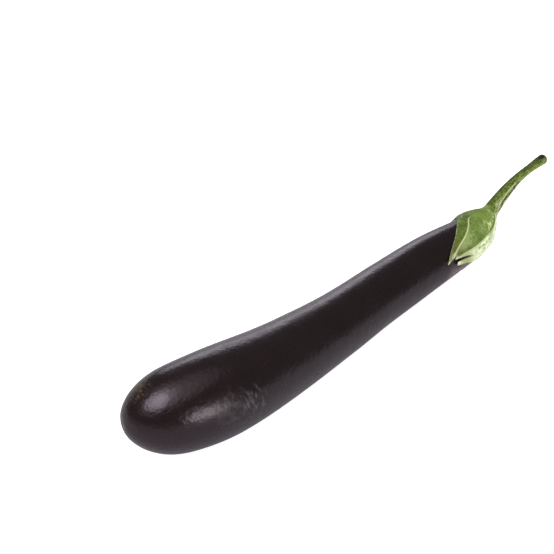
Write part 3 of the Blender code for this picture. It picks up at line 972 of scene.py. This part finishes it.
def calyx_crown(column_angle):
    """Rings from the foot of the stem down to the shell that lies on the fruit."""
    zero = np.zeros_like(column_angle)
    collar = stem_surface(zero, column_angle)
    further = stem_surface(zero + 0.0010, column_angle)
    start_distance = zero + SHELL_START
    shell = over_skin(column_angle, start_distance, calyx_offset(column_angle, start_distance))
    inner_distance = start_distance - CROWN_AIM
    inward = over_skin(column_angle, inner_distance, calyx_offset(column_angle, inner_distance))
    pull = shell + CROWN_PULL * unit(inward - shell)
    drop = collar + COLLAR_DROP * unit(collar - further)
    t = (np.arange(CROWN_RINGS) / CROWN_RINGS)[:, None, None]
    curve = (1 - t) ** 3 * collar + 3 * t * (1 - t) ** 2 * drop + 3 * t * t * (1 - t) * pull + t ** 3 * shell
    distance = SHELL_START * (t[..., 0] ** 1.2) + zero
    angle = column_angle + np.zeros_like(distance)
    outwards = unit(np.cross(np.roll(curve, -1, 1) - np.roll(curve, 1, 1), np.gradient(curve, axis=0)))
    foot, _, _, _ = frame_at(stem_centre, np.array(STEM_START))
    outwards = outwards * np.sign(np.sum(outwards * (curve - foot), -1, keepdims=True).mean())
    return curve, angle, distance, outwards


def calyx_rings():
    """Rings over the outside, round the rim and back along the inside, with their coordinates."""
    column_angle = RIM_CORNERS[0][0] + 360 * np.arange(CALYX_COLUMNS) / CALYX_COLUMNS
    rim_angle, rim_distance, lean = rim_of_column()
    crown, crown_angle, crown_distance, crown_out = calyx_crown(column_angle)
    crown_rib, _ = rib_relief(crown_angle, crown_distance)
    crown = crown + crown_rib[..., None] * crown_out
    share = (np.arange(OUTER_RINGS + 1) / OUTER_RINGS)[:, None]
    angle = column_path(share, column_angle, rim_angle, lean)
    distance = SHELL_START + (rim_distance - SHELL_START) * share
    rib, _ = rib_relief(angle, distance)
    from_rim = rim_distance - distance
    thin = soft_step(from_rim, 0.0, RIM_SLOPE)
    base = over_skin(angle, distance, calyx_offset(angle, distance))
    wrinkle = sum(height * roughness_at(base, size, seed) for height, size, seed in WRINKLES)
    wrinkle = wrinkle * soft_step(distance, SHELL_START, SHELL_START + 0.006)
    lift = tip_lift(angle, distance)
    offset = calyx_offset(angle, distance) - RIM_THINNING * (1 - thin) + rib * (0.4 + 0.6 * thin)
    offset = offset + wrinkle + lift
    outer = over_skin(angle, distance, offset)
    rim_offset = SKIN_GAP + 0.5 * (offset[-1] - SKIN_GAP + lift[-1])
    rim = over_skin(rim_angle, rim_distance + RIM_BULGE, rim_offset)[None]
    inner_share = ((1 - np.arange(INNER_RINGS) / INNER_RINGS) ** INNER_SPACING)[:, None]
    inner_distance = rim_distance * inner_share
    way_down = np.clip((inner_distance - SHELL_START) / (rim_distance - SHELL_START), 0, 1)
    inner_angle = column_path(way_down, column_angle, rim_angle, lean)
    inner_lift = tip_lift(inner_angle, inner_distance)
    inner = over_skin(inner_angle, inner_distance, SKIN_GAP + inner_lift)
    rings = np.concatenate([crown, outer, rim, inner])
    rings[..., 2] = np.maximum(rings[..., 2], FLOOR_GAP)
    angles = np.concatenate([crown_angle, angle, rim_angle[None], inner_angle])
    distances = np.concatenate([crown_distance, distance, rim_distance[None], inner_distance])
    edge = np.concatenate([rim_distance - crown_distance, from_rim, np.zeros((1, CALYX_COLUMNS)),
                           rim_distance - inner_distance])
    return rings, angles, distances, edge


def calyx_attributes(angle, distance, edge):
    """Where the calyx is paler (partly bleached, partly painted light), deep green with painted shade,
    ribbed, creased with painted shade or dried, and its grain.
    """
    turn = np.radians(angle)
    from_front = turn_between(angle, CALYX_FRONT)
    front = window(from_front, -130.0, -100.0, 100.0, 130.0)

    def beyond(low, high):
        return soft_step(distance, low, high)

    _, crest = rib_relief(angle, distance)
    fold, _ = beside_line(FOLD_RIB, angle, distance)
    strip, _ = beside_line(STRIP_RIB, angle, distance)
    dash, _ = beside_line(SECOND_LINE, angle, distance)
    past_fold = soft_step(fold, 0.0002, -0.0009) * front
    face = (1 - past_fold) * soft_step(strip, 0.0005, -0.0005) * front
    upper = beyond(0.030, 0.025)
    in_strip = soft_step(strip, -0.0002, 0.0008) * beyond(0.022, 0.034) * front
    by_fold = bell(fold - 0.0014, 0.0010) * beyond(0.022, 0.030)
    by_strip = bell(strip - 0.0012, 0.0010)
    upper_left = soft_step(from_front, 28.0, 55.0) * beyond(0.004, 0.012) * front
    in_crease = bell(fold - 0.0002, 0.00035) * upper * beyond(0.001, 0.003)
    broken = soft_step(np.sin(distance / DASH_LENGTH), -0.5, 0.3)
    dashes = bell(dash, 0.0004) * window(distance, 0.022, 0.027, 0.039, 0.044) * broken
    border = bell(edge - 0.0006, 0.0008) * beyond(0.040, 0.048) * soft_step(strip, 0.0, 0.001)
    near_fold = window(turn_between(angle, 45.0), -60.0, -30.0, 30.0, 60.0)
    beside_fold = bell(fold - 0.0022, 0.0026) * upper * near_fold
    patch = bell(turn_between(angle, 48.0), 12.0) * bell(distance - 0.0225, 0.0060)
    dry = 0.3 * bell(edge, 0.0005) * (1 - front * beyond(0.048, 0.042))
    for tip_angle, tip_distance, _ in TIP_LIFTS:
        dry = np.maximum(dry, bell(from_place(angle, distance, tip_angle, tip_distance), TIP_DRYNESS))
    return {
        "grain": np.stack([np.cos(turn), np.sin(turn), distance / CALYX_GRAIN], -1),
        "crest": crest * beyond(0.020, 0.030),
        # painted shade in the crease along the fold rib, and the faint dark dashes beside it
        "crease": np.clip(np.maximum(in_crease, dashes) * front, 0, 1),
        # paler low on the near side: partly bleached tissue, partly painted light
        "pale": past_fold * beyond(0.001, 0.006) * (1 - 0.45 * beyond(0.036, 0.050)),
        "border": border * front,
        "stain": bell(from_place(angle, distance, *STAIN_PLACE), STAIN_RADIUS),
        "olive": 0.7 * beyond(0.044, 0.058) * (1 - past_fold) * front,
        # painted shade, partly deeper green tissue: the left strip, bands beside the ribs, the crown by the
        # stem and the upper left
        "deep_green_and_shade": np.clip(0.75 * in_strip + 0.35 * by_fold * face + 0.3 * by_strip * in_strip
                        + 0.5 * beyond(0.007, 0.0) * (1 - past_fold) + 0.5 * upper_left, 0, 1),
        "light": face * beyond(0.036, 0.052) * soft_step(fold, 0.0012, 0.0030),
        "glow": bell(turn_between(angle, 80.0), 35.0) * bell(distance - 0.014, 0.011),
        "speckle": np.maximum(beside_fold, patch) * beyond(0.004, 0.009),
        "dry": np.clip(dry, 0, 1),
    }


def make_calyx(shift):
    rings, angle, distance, edge = calyx_rings()
    mesh = rings_to_mesh("calyx_leaf", rings + shift, calyx_attributes(angle, distance, edge))
    make_piece("calyx_leaf", mesh, calyx_material(), "calyx")


def make_camera(shift):
    azimuth, elevation = math.radians(VIEW_AZIMUTH), math.radians(VIEW_ELEVATION)
    back = Vector((math.sin(azimuth) * math.cos(elevation), -math.cos(azimuth) * math.cos(elevation),
                   math.sin(elevation)))
    data = bpy.data.cameras.new("photo_view")
    data.sensor_width = 36.0
    data.lens = LENS
    data.clip_start = 0.01
    camera = new_object("photo_view", data)
    camera.location = Vector(VIEW_AIM) + Vector(shift) + VIEW_DISTANCE * back
    camera.rotation_mode = "QUATERNION"
    camera.rotation_quaternion = back.to_track_quat("Z", "Y")
    bpy.context.scene.camera = camera


def sweep_material(name, shade, glow, tint):
    """A plain matt surface that also glows a little."""
    material, _, shader = new_material(name)
    shader.inputs["Base Color"].default_value = (shade, shade, shade, 1)
    shader.inputs["Roughness"].default_value = 0.9
    shader.inputs["Specular IOR Level"].default_value = 0.0
    shader.inputs["Emission Color"].default_value = (*tint, 1)
    shader.inputs["Emission Strength"].default_value = glow
    return material


def turned_sheet(name, profile, material):
    """A part of the studio's sweep: a profile of (radius, height) turned round the middle."""
    mesh = bpy.data.meshes.new(name)
    mesh.from_pydata([(x, 0, z) for x, z in profile], [(i, i + 1) for i in range(len(profile) - 1)], [])
    mesh.materials.append(material)
    sheet = new_object(name, mesh)
    turn = sheet.modifiers.new("Turn", "SCREW")
    turn.steps = turn.render_steps = 96
    turn.use_merge_vertices = True
    turn.merge_threshold = 0.0001
    turn.use_smooth_shade = True
    return sheet


def make_studio():
    """A white floor with a rising edge, a grey floor that shows in gloss only, and the lights."""
    turn = np.radians(np.linspace(0, 90, 9))
    inner = SWEEP_RADIUS - SWEEP_ROUNDING
    rise = [(inner + SWEEP_ROUNDING * math.sin(t), SWEEP_ROUNDING * (1 - math.cos(t))) for t in turn]
    profile = [(0.0, -SWEEP_DROP), (inner, -SWEEP_DROP)] + rise[1:] + [(SWEEP_RADIUS, SWEEP_HEIGHT)]
    pale = sweep_material("pale_sweep", SWEEP_SHADE, SWEEP_GLOW, PLAIN)
    sweep = turned_sheet("studio_sweep", profile, pale)
    sweep.visible_glossy = False
    grey = sweep_material("grey_floor", SHEEN_FLOOR_SHADE, SHEEN_FLOOR_GLOW, SHEEN_FLOOR_TINT)
    floor = turned_sheet("studio_floor_in_gloss", [(0.0, 0.0), (inner, 0.0)], grey)
    floor.visible_camera = False
    floor.visible_diffuse = False
    floor.visible_shadow = False
    world = bpy.data.worlds.new("dim_room")
    world.use_nodes = True
    background = world.node_tree.nodes["Background"].inputs
    background["Color"].default_value = (1, 1, 1, 1)
    background["Strength"].default_value = ROOM_LIGHT
    bpy.context.scene.world = world
    for name, place, width, height, radiance, shows_in_gloss, tint in LAMPS:
        data = bpy.data.lights.new(name, "AREA")
        data.shape = "ELLIPSE"
        data.size = width
        data.size_y = height
        data.color = tint
        data.energy = radiance * math.pi * math.pi * width * height / 4
        lamp = new_object(name, data)
        lamp.location = place
        lamp.rotation_euler = Vector(place).to_track_quat("Z", "Y").to_euler()
        lamp.visible_camera = False
        lamp.visible_glossy = shows_in_gloss
    bpy.context.scene.view_settings.view_transform = "Standard"


def main():
    """Makes the pieces in the fruit's own frame, shifted to where the fruit's solid lies."""
    plain = make_fruit_mesh(None)
    shift = np.array(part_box("fruit")[0]) - point_array(plain).min(0)
    shift[2] = 0.0
    bpy.data.meshes.remove(plain)
    make_camera(shift)
    material = skin_material(shift)
    body = make_fruit_mesh(material)
    shift_mesh(body, shift)
    make_piece("fruit_body", body, material, "fruit")
    make_calyx(shift)
    make_stem(shift)
    make_fibres(shift)
    make_studio()


main()
